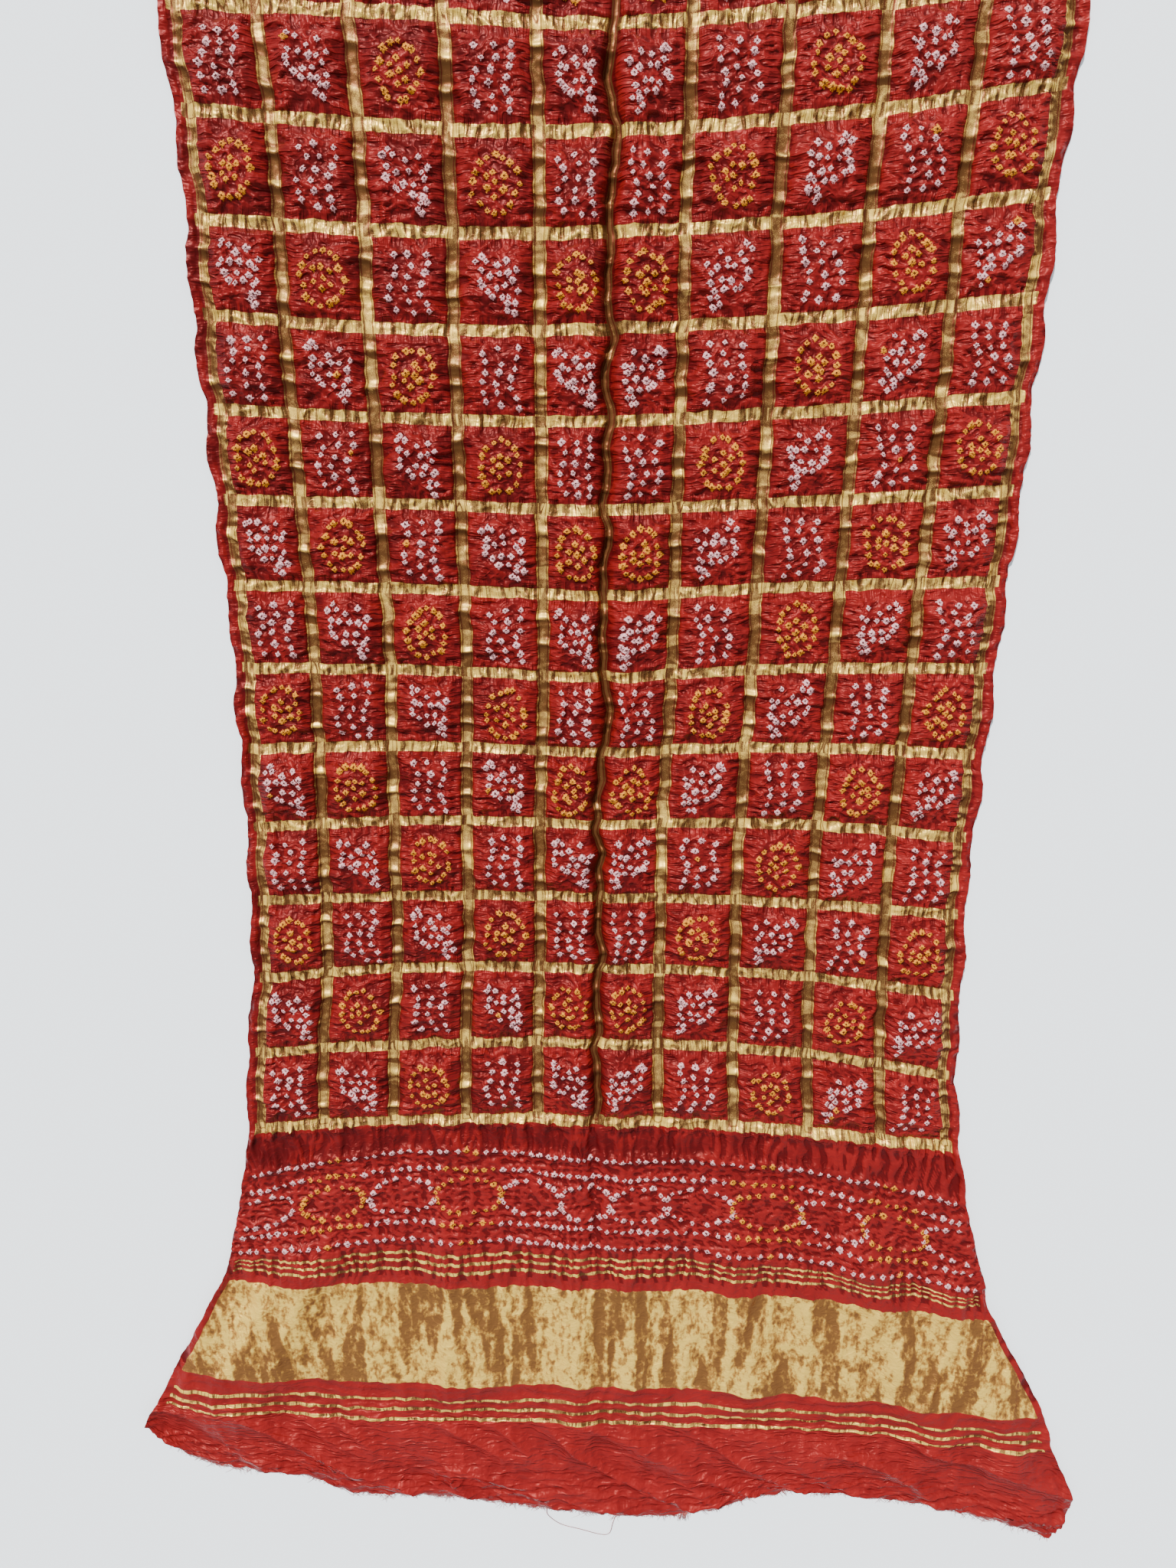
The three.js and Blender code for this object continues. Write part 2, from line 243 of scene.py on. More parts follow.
def place(across, along):
    across, along = np.broadcast_arrays(np.asarray(across, float), np.asarray(along, float))
    middle = smoothCurve(column(2), along)
    edge = np.where(across < 0, smoothCurve(column(1), along), smoothCurve(column(3), along))
    fieldEnd = cloth["checkRows"] * cloth["checkPitch"]
    inChecks = 1 - ease(fieldEnd, fieldEnd + pucker["notchFade"], along)
    notch = pucker["selvedgeNotch"] * inChecks * np.cos(2 * np.pi * along / cloth["checkPitch"])
    nearEdge = ease(pucker["notchFrom"], cloth["selvedge"], np.abs(across))
    x = middle + (edge - middle) * smoothCurve(widthShare, np.abs(across))
    x = x - np.sign(across) * notch * nearEdge
    past = np.clip((along - cloth["plainEnd"]) / (cloth["rawEnd"] - cloth["plainEnd"]), 0, 1)
    line = lineY(across, np.minimum(along, cloth["plainEnd"]))
    y = line * (1 - past) + smoothCurve(rawOutline, across) * past
    return x, y


def creaseRise(x, y, crease):
    fromAcross, fromAlong, toAcross, toAlong, height, leftWidth, rightWidth = crease
    fromX, fromY = (float(v) for v in place(fromAcross, fromAlong))
    toX, toY = (float(v) for v in place(toAcross, toAlong))
    length = math.hypot(toX - fromX, toY - fromY)
    dirX, dirY = (toX - fromX) / length, (toY - fromY) / length
    run = (x - fromX) * dirX + (y - fromY) * dirY
    side = (y - fromY) * dirX - (x - fromX) * dirY
    width = np.where(side > 0, rightWidth, leftWidth)
    outside, inside = pucker["creaseFade"]
    taper = ease(-outside, inside, run) * (1 - ease(length - inside, length + outside, run))
    return height * taper * np.exp(-((side / width) ** 2))


def underside(across, along, x, y):
    row = along / cloth["checkPitch"]
    rows = cloth["checkRows"]
    tied = ease(-0.05, 0, row) * (1 - ease(rows, rows + 0.1, row))
    cell = (np.floor(across + 5) * 3 + np.floor(row) * 5).astype(int) % 7
    inColumn = np.sin(np.pi * (across - np.floor(across)))
    inRow = np.sin(np.pi * (row - np.floor(row)))
    height = (tied * pucker["moundHeights"][cell] * ease(0, 0.8, inColumn) * ease(0, 1, inRow)
              * (1 - ease(5, 5.1, np.abs(across))))
    bandStart = cloth["bandStart"]
    creased = 1 - ease(bandStart - 60, bandStart, along)
    crest = np.exp(-(((np.abs(across) - pucker["crestOffset"]) / pucker["crestWidth"]) ** 2))
    height += creased * pucker["besideCentre"] * crest
    gathered = ease(rows, rows + 0.5, row) * (1 - ease(bandStart - 20, bandStart + 30, along))
    gatherWave = 1 - np.cos(2 * np.pi * across / pucker["gatherPitch"])
    height += gathered * pucker["gatherHeight"] * gatherWave * 0.5
    edgeWave = 0.5 + 0.5 * np.cos(2 * np.pi * along / (cloth["checkPitch"] * pucker["selvedgeWave"]))
    height += pucker["selvedgeCurl"] * edgeWave * ease(5, cloth["selvedge"], np.abs(across))
    for crease in creases:
        height += creaseRise(x, y, crease)
    flat = cloth["flatEnd"]
    fromEnds = ease(cloth["topEnd"] + flat, cloth["topEnd"] + 2 * flat, along)
    fromEnds = fromEnds * (1 - ease(cloth["rawEnd"] - flat, cloth["rawEnd"] - cloth["rawFlat"], along))
    return np.maximum(0, height - pucker["flatBelow"]) * fromEnds


# Tied dots

dotWork = {
    # the yellow figure's rings: half width and half height in mm, dots, how far a dot strays in steps
    "rings": (((17.5, 21.5), 16, 0.15), ((7.5, 9.0), 6, 0.2)),
    "waver": 2.8,                        # how far a wavy row strays, mm
    "waverTurn": 7.5,                    # how often it turns, radians from end to end
    "jitter": 0.85,                      # mm
    "widthRange": (0.94, 1.06),          # how much one figure differs from the next
    "heightRange": (0.97, 1.03),
    "besideCentre": 0.93,                # the figures beside the centre crease are narrower
    "drop": 2.0,                         # a figure's middle lies under the check's middle, mm
    "strayYellow": 0.012,                # share of yellow dots in the pale figures
}

border = {
    # the four straight lines: mm along, then how near a yellow oval their dots are yellow
    "lines": ((1029, 0.12), (1049, 0.4), (1110, 0.42), (1130, 0.1)),
    "lineDots": 80,
    "reach": 5.05,                       # how far lines and ovals run out, in check columns
    "jitter": (0.5, 0.6),                # mm across and along
    "ovalMiddle": 1079.5,                # mm along
    "ovalHalf": (0.44, 19.0),            # half width in check columns, half height in mm along
    "ovalDots": 20,
}

# the lattice figure: height above the check's middle, then the dots across it, mm
latticeRows = [
    (23, (-14,)), (19, (-17.5, -9.5, 9)), (14.5, (-0.5,)), (10.5, (-14, 17)), (7.5, (-6.5, 2.5, 10.5)),
    (3, (-15.5, 15)), (-2, (-14, -0.8, 7)), (-6, (-8, 16.5)), (-10, (-3.3, 5, 12.5)), (-15.5, (12, 17)),
    (-20, (9.5,)), (-23, (14.5,)),
]

# the wavy figure: distance across, first height, number of dots
wavyColumns = [(-13, 21, 6), (0, 23, 6), (13, 23.5, 7)]

# the border's ovals: middle in check columns, yellow or not
ovals = [
    (-4.75, 0), (-3.75, 1), (-2.8, 0), (-1.9, 1), (-1.03, 0), (-0.18, 0), (0.68, 0), (1.5, 0),
    (2.35, 1), (3.2, 0), (4.0, 1), (4.85, 0),
]


def ringDots(random):
    points = []
    for (width, height), count, stray in dotWork["rings"]:
        for k in range(count):
            turn = 2 * math.pi * (k + random.uniform(-stray, stray)) / count
            points.append((width * math.sin(turn), height * math.cos(turn)))
    return points + [(0, 0)]


def wavyDots(random):
    points = []
    for across, top, count in wavyColumns:
        for k in range(count):
            share = k / (count - 1)
            waver = dotWork["waver"] * math.sin(dotWork["waverTurn"] * share + across)
            points.append((across + waver, top - 2 * top * share))
    return points


def latticeDots(random):
    return [(across, height) for height, row in latticeRows for across in row]


figures = {"ring": ringDots, "wavy": wavyDots, "lattice": latticeDots}
figureOrder = ["wavy", "lattice", "ring"]     # in the first check row, from either selvedge inwards


def checkDots(random):
    dots = []
    jitter = dotWork["jitter"]
    for row in range(-1, cloth["checkRows"]):
        for step in range(5):
            name = figureOrder[(step - row) % 3]
            for side in (-1, 1):
                across = side * (4.5 - step)
                middleX, middleY = (float(v) for v in place(across, (row + 0.5) * cloth["checkPitch"]))
                rightX, rightY = (float(v) for v in place(across + 0.2, (row + 0.5) * cloth["checkPitch"]))
                lean = math.atan2(rightY - middleY, rightX - middleX)
                narrow = dotWork["besideCentre"] if step == 4 else 1.0
                stretch = random.uniform(*dotWork["widthRange"]) * narrow
                for dx, dy in figures[name](random):
                    dx = -side * dx * stretch + random.normal(0, jitter)
                    dy = dy * random.uniform(*dotWork["heightRange"]) - dotWork["drop"]
                    dy = dy + random.normal(0, jitter)
                    kind = 1.0 if name == "ring" or random.random() < dotWork["strayYellow"] else 0.0
                    dots.append((middleX + dx * math.cos(lean) - dy * math.sin(lean),
                                 middleY + dx * math.sin(lean) + dy * math.cos(lean), kind))
    return dots


def borderDots(random):
    dots = []

    def add(across, along, kind):
        x, y = place(across, along)
        jitterX, jitterY = border["jitter"]
        dots.append((float(x) + random.normal(0, jitterX), float(y) + random.normal(0, jitterY), kind))

    def nearYellow(across, reach):
        return any(yellow and abs(across - middle) < reach for middle, yellow in ovals)

    count = border["lineDots"]
    for along, reach in border["lines"]:
        for k in range(count):
            across = -border["reach"] + 2 * border["reach"] * (k + 0.5) / count
            add(across, along, float(nearYellow(across, reach)))
    half, halfHeight = border["ovalHalf"]
    count = border["ovalDots"]
    for middle, yellow in ovals:
        for k in range(count):
            turn = 2 * math.pi * (k + 0.5) / count
            tip = abs(math.cos(turn)) ** 0.8
            across = middle + half * math.copysign(tip, math.cos(turn))
            lift = halfHeight * math.sin(turn) * (0.86 + 0.14 * abs(math.sin(turn)))
            gap = not yellow and abs(math.cos(turn)) > 0.9 and math.sin(turn) > 0
            if abs(across) < border["reach"] and not gap:
                add(across, border["ovalMiddle"] - lift, float(yellow))
    return dots


random = np.random.default_rng(11)
dots = checkDots(random) + borderDots(random)
dotTree = KDTree(len(dots))
for index, (x, y, kind) in enumerate(dots):
    dotTree.insert((x, y, 0), index)
dotTree.balance()
dotPlace = np.array([dot[:2] for dot in dots])
dotKind = np.array([dot[2] for dot in dots])
dotShade = random.random(len(dots))
dotTurn = random.random(len(dots))
print("tied dots:", len(dots))

# Fine relief of the silk


def noise(x, y, seed):
    # smooth noise from turned slopes on a square lattice, about -1 to 1
    cellX, cellY = np.floor(x), np.floor(y)
    total = 0
    for stepX in (0, 1):
        for stepY in (0, 1):
            cornerX, cornerY = cellX + stepX, cellY + stepY
            turn = np.sin(cornerX * 127.1 + cornerY * 311.7 + seed * 74.7) * 43758.5453
            turn = (turn - np.floor(turn)) * 2 * np.pi
            offX, offY = x - cornerX, y - cornerY
            weight = (1 - ease(0, 1, np.abs(offX))) * (1 - ease(0, 1, np.abs(offY)))
            total = total + weight * (np.cos(turn) * offX + np.sin(turn) * offY)
    return total * 1.6


def folds(x, y, seed):
    # sharp crests and broad hollows, 0 to 1
    return (1 - np.minimum(np.abs(noise(x, y, seed)) * 2, 1)) ** 1.5


relief = {
    # layers of folds: height and size across and along, all mm, then the pattern's seed
    "sideways": ((2.6, 30, 7.5, 5), (0.91, 20, 4.2, 6)),     # crests that run out sideways from the ties
    "lengthways": ((2.2, 7.5, 40, 7), (0.88, 4.6, 24, 8)),   # crests that run to the horizontal gold lines
    "motif": ((1.7, 9, 6, 9),),
    "ground": ((2.2, 19, 12, 10),),
    "gathers": ((3.8, 13, 60, 13), (1.9, 6.5, 30, 14)),
    "dotBorder": ((2.0, 9, 7, 15), (1.8, 26, 6, 16), (1.6, 14, 50, 29)),
    "hairlines": ((3.04, 12, 70, 17), (1.216, 6, 30, 18)),
    "band": ((3.0, 34, 190, 19), (1.2, 15, 80, 20)),
    "underBand": ((1.9, 60, 11, 22),),
    "underBandSlant": ((1.8, 22, 60, 23),),
    "endDiagonal": ((8.25, 42, 170, 24),),
    "endFine": ((1.1, 14, 60, 26),),
    "endLevel": ((1.0, 80, 8, 25),),
    "selvedge": ((2.0, 30, 14, 27),),
    # single heights and reaches, mm
    "dotPeak": 2.4,
    "dotReach": 3.2,
    "stripeRidge": 3.0,
    "uneven": 2.2,                       # broad rise and fall of the ground
    "bandCrumple": 0.75,
    "endLevelHeight": (0.55, 3.3),       # all over the plain end, and more towards the raw edge
    "weave": 0.3,
    "stray": 3.0,                        # how far the folds wander from straight
    "centreCrests": (2.2, 9.0, 4.5),     # height, distance from the centre and width
    "centreTrough": (1.6, 5.0),          # depth and width
    "besideCentre": 62.0,                # width of a check column beside the centre
    "ridgeReach": 0.27,                  # of the ridges over the gold lines, in check columns
    "endSlope": (0.56, 0.83),            # direction across the plain end's diagonal folds
}

# where each zone of folds rises from and to, then where it fades from and to, mm along
zones = {
    "gathers": (984, 994, 1022, 1034),
    "dotBorder": (1018, 1030, 1128, 1146),
    "hairlines": (1132, 1142, 1176, 1196),
    "band": (1174, 1190, 1296, 1312),
    "underBand": (1296, 1306, 1346, 1360),
}


def zone(name, along):
    riseFrom, riseTo, fadeFrom, fadeTo = zones[name]
    return ease(riseFrom, riseTo, along) * (1 - ease(fadeFrom, fadeTo, along))


def layered(name, x, y):
    return sum(height * folds(x / sizeX, y / sizeY, seed) for height, sizeX, sizeY, seed in relief[name])


def hashed(first, second, seed):
    value = np.sin(first * 12.9898 + second * 78.233 + seed * 37.719) * 43758.5453
    return value - np.floor(value)


def stripeRidges(across, along):
    # up to two ridges in each check that run from motif to motif over a vertical gold line
    row = along / cloth["checkPitch"]
    nearest, check = np.round(across), np.floor(row)
    side = across - nearest
    total = 0
    for turn, first in ((1, 0.2), (2, 0.56)):     # a ridge's seed and its least distance down the check
        lean = 0.16 * side * (hashed(nearest, check, turn + 4) - 0.4)
        middle = first + 0.24 * hashed(nearest, check, turn) + lean
        width = 0.03 + 0.03 * hashed(nearest, check, turn + 8)
        strength = ease(0.15, 0.5, hashed(nearest, check, turn + 12))
        crest = strength * np.exp(-(((row - check - middle) / width) ** 2))
        total = total + crest * np.exp(-((side / relief["ridgeReach"]) ** 2))
    return total


def fieldMasks(across, along):
    row = along / cloth["checkPitch"]
    rows = cloth["checkRows"]
    offU = np.abs(across - np.floor(across) - 0.5)
    offV = np.abs(row - np.floor(row) - 0.5)
    inField = ease(-0.5, -0.2, row) * (1 - ease(rows + 0.05, rows + 0.2, row))
    inField = inField * (1 - ease(5.0, cloth["selvedge"], np.abs(across)))
    motif = (1 - ease(0.22, 0.36, offU)) * (1 - ease(0.28, 0.42, offV))
    sideways = ease(0.16, 0.30, offU) * (1 - ease(0.36, 0.46, offV)) * (1 - 0.9 * ease(0.38, 0.45, offU))
    lengthways = ease(0.30, 0.42, offV) * (1 - 0.75 * ease(0.36, 0.46, offU))
    return inField * motif, inField * sideways, inField * lengthways, inField


def centreCrease(across, along):
    # a sharp trough between two narrow crests, down to the band
    fromCentre = np.abs(across) * relief["besideCentre"]
    height, distance, width = relief["centreCrests"]
    depth, troughWidth = relief["centreTrough"]
    crests = height * np.exp(-(((fromCentre - distance) / width) ** 2))
    trough = depth * np.exp(-((fromCentre / troughWidth) ** 2))
    return (1 - ease(1100, cloth["bandStart"], along)) * (crests - trough)


def endRelief(x, y, along):
    # the plain end: long diagonal folds, and level ones towards the raw edge
    slopeX, slopeY = relief["endSlope"]
    downhill, uphill = slopeX * x + slopeY * y, slopeY * x - slopeX * y
    waved = y + relief["stray"] * noise(x / 40, y / 40, 41)
    everywhere, lower = relief["endLevelHeight"]
    level = everywhere + lower * ease(1390, 1432, along)
    height = layered("endDiagonal", downhill, uphill) + layered("endFine", x, y)
    return ease(1340, 1366, along) * (height + level * layered("endLevel", x, waved))


def fineRelief(across, along, x, y, nearDot):
    motif, sideways, lengthways, inField = fieldMasks(across, along)
    warpX = x + relief["stray"] * noise(x / 21, y / 21, 3)
    warpY = y + relief["stray"] * noise(x / 19, y / 23, 4)
    stiff = 0.85 * ease(0.40, 0.46, np.abs(across - np.floor(across) - 0.5))
    height = sideways * layered("sideways", warpX, warpY)
    height += lengthways * layered("lengthways", warpX, warpY)
    height += motif * layered("motif", warpX, warpY)
    height += inField * (1 - stiff) * layered("ground", warpX, warpY)
    height += relief["dotPeak"] * np.exp(-nearDot / relief["dotReach"])
    height += inField * relief["uneven"] * (noise(x / 46, y / 41, 12) + 0.4)
    height += relief["stripeRidge"] * inField * stripeRidges(across, along)
    height += centreCrease(across, along)
    for name in ("gathers", "dotBorder", "hairlines"):
        height += zone(name, along) * layered(name, warpX, warpY)

    # the band's folds fan out a little towards the selvedges
    slant = x + 0.25 * np.sign(across) * (along - cloth["bandStart"]) * np.abs(across) / 5
    bandFolds = layered("band", slant, y) + relief["bandCrumple"] * noise(x / 9, y / 14, 21)
    height += zone("band", along) * bandFolds
    height += zone("underBand", along) * (layered("underBand", x, y) + layered("underBandSlant", slant, y))
    height += endRelief(x, y, along)
    rows = cloth["checkRows"] * cloth["checkPitch"]
    selvedge = ease(5.0, cloth["selvedge"], np.abs(across)) * (1 - ease(rows, rows + 20, along))
    height += selvedge * layered("selvedge", x, y)
    height += relief["weave"] * noise(x / 6, y / 6, 28)
    flatten = 1 - ease(cloth["rawEnd"] - 8, cloth["rawEnd"], along) * 0.75
    return height * flatten


# small strays of the woven lines: distance and size across and along, all mm, then the pattern's seed
strays = {
    "sideways": ((1.5, 30, 17, 31), (0.5, 9, 7, 32)),
    "lengthways": ((1.2, 17, 30, 34), (0.5, 7, 9, 35)),
    "centre": (6.0, 34, 33),             # distance, size along, seed
    "rawEdge": ((2.2, 11, 36), (1.2, 4.5, 37)),
}


def strayed(name, x, y):
    return sum(reach * noise(x / sizeX, y / sizeY, seed) for reach, sizeX, sizeY, seed in strays[name])


def drift(across, along, x, y):
    # small strays that make every woven line waver
    rows = cloth["checkRows"] * cloth["checkPitch"]
    half = np.full_like(x, 0.5)
    centre = np.exp(-((across / 0.22) ** 2)) * (1 - ease(rows, rows + 120, along))
    reach, size, seed = strays["centre"]
    dx = strayed("sideways", x, y) + reach * centre * noise(half, y / size, seed)
    ragged = ease(cloth["rawEnd"] - 14, cloth["rawEnd"], along)
    raw = sum(reach * noise(x / size, half, seed) for reach, size, seed in strays["rawEdge"])
    dy = strayed("lengthways", x, y) + ragged * raw
    return dx, dy


# Gold lines: signed distance in millimetres to the nearest gold edge, negative inside

gold = {
    "checkHalf": 5.3,                    # half width of a check line, mm
    "centreHalf": 3.2,
    "outerHalf": 4.4,
    "outerLine": 4.94,                   # the outermost lines, in check columns
    "weftHalf": 4.9,
    "hairlines": ((1145, 1.5), (1153.5, 1.5), (1163, 1.7), (1323, 1.9), (1335.5, 1.9), (1347.5, 1.9)),
    "reach": 5.07,                       # how far the lines run towards the selvedge, in check columns
    "warpEnds": (-30.0, 2.0),            # where the long lines start, how far they pass the last check, mm
}


def goldDistances(across, along, columnWidth):
    rows = cloth["checkRows"]
    pitch = cloth["checkPitch"]
    nearest = np.clip(np.round(across), -gold["outerLine"], gold["outerLine"])
    half = np.where(np.abs(nearest) > 4, gold["outerHalf"], gold["checkHalf"])
    half = np.where(nearest == 0, gold["centreHalf"], half)
    warpStart, pastLast = gold["warpEnds"]
    warp = np.abs(across - nearest) * columnWidth - half
    warp = np.maximum(warp, (along - rows * pitch) - pastLast)
    warp = np.maximum(warp, warpStart - along)
    row = np.clip(np.round(along / pitch), 0, rows)
    weft = np.abs(along - row * pitch) - gold["weftHalf"]
    for middle, halfWidth in gold["hairlines"]:
        weft = np.minimum(weft, np.abs(along - middle) - halfWidth)
    band = np.maximum(cloth["bandStart"] - along, along - cloth["bandEnd"])
    outside = (np.abs(across) - gold["reach"]) * columnWidth
    return warp, np.maximum(weft, outside), np.maximum(band, outside)


# Cloth pieces

meshing = {
    "halfSteps": 220,                    # mesh steps from the centre crease to a selvedge
    "lowest": 0.0003,                    # metres
    "pieces": {
        # name: along from, to, steps, flat width and length in metres
        "field_top": (-60.0, 202.0, 200, (1.0, 0.30)),
        "field_upper": (202.0, 464.0, 200, (1.0, 0.30)),
        "field_lower": (464.0, 726.0, 200, (1.0, 0.30)),
        "field_foot": (726.0, 988.0, 200, (1.0, 0.30)),
        "dot_border": (988.0, 1180.0, 124, (1.0, 0.21)),
        "gold_band": (1180.0, 1314.0, 60, (1.0, 0.135)),
        "plain_end": (1314.0, 1455.0, 66, (1.0, 0.15)),
    },
}


def nearestDots(x, y):
    # index of and distance to the nearest tied dot of each point
    places = zip(x.ravel().tolist(), y.ravel().tolist())
    found = [dotTree.find((pointX, pointY, 0)) for pointX, pointY in places]
    index = np.array([one[1] for one in found]).reshape(x.shape)
    distance = np.array([one[2] for one in found]).reshape(x.shape)
    return index, distance


def corners(grid):
    return np.stack([grid[:-1, :-1], grid[1:, :-1], grid[1:, 1:], grid[:-1, 1:]], axis=2)


def clothPoints(across, along):
    x, y = place(across, along)
    columnWidth = np.abs(np.gradient(x, axis=1) / np.gradient(across, axis=1))
    nearDot = nearestDots(x, y)[1]
    z = underside(across, along, x, y) + cloth["lift"] + fineRelief(across, along, x, y, nearDot)
    dx, dy = drift(across, along, x, y)
    originX, originY = cloth["origin"]
    points = np.stack([(x + dx - originX) / 1000, (y + dy - originY) / 1000, z / 1000], axis=-1)
    warp, weft, band = goldDistances(across, along, columnWidth)
    motif, sideways, lengthways = fieldMasks(across, along)[:3]
    # the slopes also drive the painted glints on the gold
    slopeX = np.gradient(z, axis=1) / np.gradient(x, axis=1)
    slopeY = np.gradient(z, axis=0) / np.gradient(y, axis=0)
    # how far a point lies under its surroundings, which the material turns into painted shade, left out near
    # a piece's ends where the roll wraps round
    around = z.copy()
    for _ in range(3):
        aboveAndBelow = np.roll(around, 2, 0) + np.roll(around, -2, 0)
        around = (aboveAndBelow + np.roll(around, 2, 1) + np.roll(around, -2, 1)) / 4
    hollow = np.clip((around - z) * 0.9, -1, 1)
    hollow[:6] = 0
    hollow[-6:] = 0
    fields = {
        "goldLines": np.stack([warp, weft, band], axis=-1),
        "slope": np.stack([slopeX, slopeY, hollow], axis=-1),
        "weave": np.stack([x, along, x - smoothCurve(column(2), along)], axis=-1),
        "strain": np.stack([sideways, lengthways, motif], axis=-1),
    }
    # every face takes the one dot nearest to its middle, so no face blends two dots
    cornerX, cornerY = corners(x), corners(y)
    index = nearestDots(cornerX.mean(axis=2), cornerY.mean(axis=2))[0][..., None]
    still = np.zeros_like(cornerX)
    offDot = [cornerX - dotPlace[index, 0], cornerY - dotPlace[index, 1], still]
    tint = [values[index] + still for values in (dotKind, dotShade, dotTurn)]
    cornerFields = {"tiedDot": np.stack(offDot, axis=-1), "dotTint": np.stack(tint, axis=-1)}
    return points, fields, cornerFields


def makeSheet(name, points, fields, cornerFields, material):
    rows, columns = points.shape[:2]
    quads = corners(np.arange(rows * columns).reshape(rows, columns)).reshape(-1, 4)
    mesh = bpy.data.meshes.new(name)
    mesh.vertices.add(rows * columns)
    mesh.vertices.foreach_set("co", points.reshape(-1))
    mesh.loops.add(quads.size)
    mesh.loops.foreach_set("vertex_index", quads.reshape(-1))
    mesh.polygons.add(len(quads))
    mesh.polygons.foreach_set("loop_start", np.arange(0, quads.size, 4))
    mesh.update(calc_edges=True)
    mesh.polygons.foreach_set("use_smooth", np.ones(len(quads), bool))
    for domain, group in (("POINT", fields), ("CORNER", cornerFields)):
        for key, values in group.items():
            layer = mesh.attributes.new(key, "FLOAT_VECTOR", domain)
            layer.data.foreach_set("vector", values.astype(np.float32).reshape(-1))
    u, v = np.meshgrid(np.linspace(0, 1, columns), np.linspace(1, 0, rows))
    flat = np.stack([u, v], axis=-1).reshape(-1, 2)[quads.reshape(-1)]
    uvLayer = mesh.uv_layers.new(name="OFBake")
    uvLayer.data.foreach_set("uv", flat.astype(np.float32).reshape(-1))
    mesh.materials.append(material)
    sheet = bpy.data.objects.new(name, mesh)
    bpy.context.scene.collection.objects.link(sheet)
    return sheet


# Materials

silk = {
    "lit": (0.130, 0.0045, 0.0048),
    # deep: the red's darker clouds, the gold lines' thin dark edging and the painted shade in hollows
    "deep": (0.05, 0.0015, 0.0025),
    # bright: used towards the end, as painted light towards the right and as a painted highlight on crests
    "bright": (0.20, 0.0100, 0.0098),
    "shine": (1.0, 0.22, 0.18),
    "roughness": 0.42,
    "dotRoughness": 0.3,                 # added on the dots
    "specular": 0.42,
    "goldMetal": 0.45,
    # the gold's pale, middle and dark colours, and the band's, mixed by painted glint and painted shade
    "goldPale": (0.75, 0.49, 0.09),
    "goldMid": (0.27, 0.15, 0.045),
    "goldDark": (0.085, 0.036, 0.011),
    "bandMid": (0.38, 0.18, 0.035),
    "bandDark": (0.17, 0.075, 0.022),
    "dotPale": (0.74, 0.40, 0.40),
    "dotYellow": (0.66, 0.25, 0.018),
    "dotHeart": (0.035, 0.002, 0.003),
}


class Graph:
    # a shorthand for laying out shader nodes

    def __init__(self, material):
        material.use_nodes = True
        self.tree = material.node_tree
        self.shader = self.tree.nodes["Principled BSDF"]

    def add(self, kind, inputs=None, **settings):
        made = self.tree.nodes.new(kind)
        for key, value in settings.items():
            setattr(made, key, value)
        for key, value in (inputs or {}).items():
            self.feed(made.inputs[key], value)
        return made

    def feed(self, socket, value):
        if isinstance(value, bpy.types.NodeSocket):
            self.tree.links.new(value, socket)
        else:
            socket.default_value = value

    def math(self, operation, first, second=0.0, third=0.0):
        made = self.add("ShaderNodeMath", operation=operation)
        for socket, value in zip(made.inputs, (first, second, third)):
            self.feed(socket, value)
        return made.outputs[0]

    def span(self, value, start, end, low=0.0, high=1.0):
        made = self.add("ShaderNodeMapRange", interpolation_type="SMOOTHSTEP")
        for socket, given in zip(made.inputs, (value, start, end, low, high)):
            self.feed(socket, given)
        return made.outputs[0]

    def mix(self, share, first, second):
        made = self.add("ShaderNodeMix", data_type="RGBA")
        for index, value in ((0, share), (6, first), (7, second)):
            if isinstance(value, tuple):
                value = (*value, 1)
            self.feed(made.inputs[index], value)
        return made.outputs[2]

    def attribute(self, name):
        made = self.add("ShaderNodeAttribute", attribute_name=name)
        return made.outputs["Vector"]

    def parts(self, vector):
        made = self.add("ShaderNodeSeparateXYZ")
        self.feed(made.inputs[0], vector)
        return made.outputs

    def level(self, value, factor, offset):
        return self.math("MULTIPLY_ADD", value, factor, offset)

    def ridge(self, vector, stretch, detail=1.0, rough=0.5):
        # thin crests and broad hollows, 0 to 1
        off = self.math("ABSOLUTE", self.math("SUBTRACT", self.noise(vector, stretch, detail, rough), 0.5))
        return self.span(off, 0.16, 0.0)

    def noise(self, vector, stretch, detail=3.0, rough=0.55):
        # a pattern of the flat cloth when nothing is stretched along the third axis
        scaled = self.add("ShaderNodeMapping", {"Vector": vector, "Scale": stretch})
        made = self.add("ShaderNodeTexNoise", noise_dimensions="3D" if stretch[2] else "2D")
        inputs = {"Vector": scaled.outputs[0], "Scale": 1.0, "Detail": detail, "Roughness": rough}
        for key, value in inputs.items():
            self.feed(made.inputs[key], value)
        return made.outputs[0]


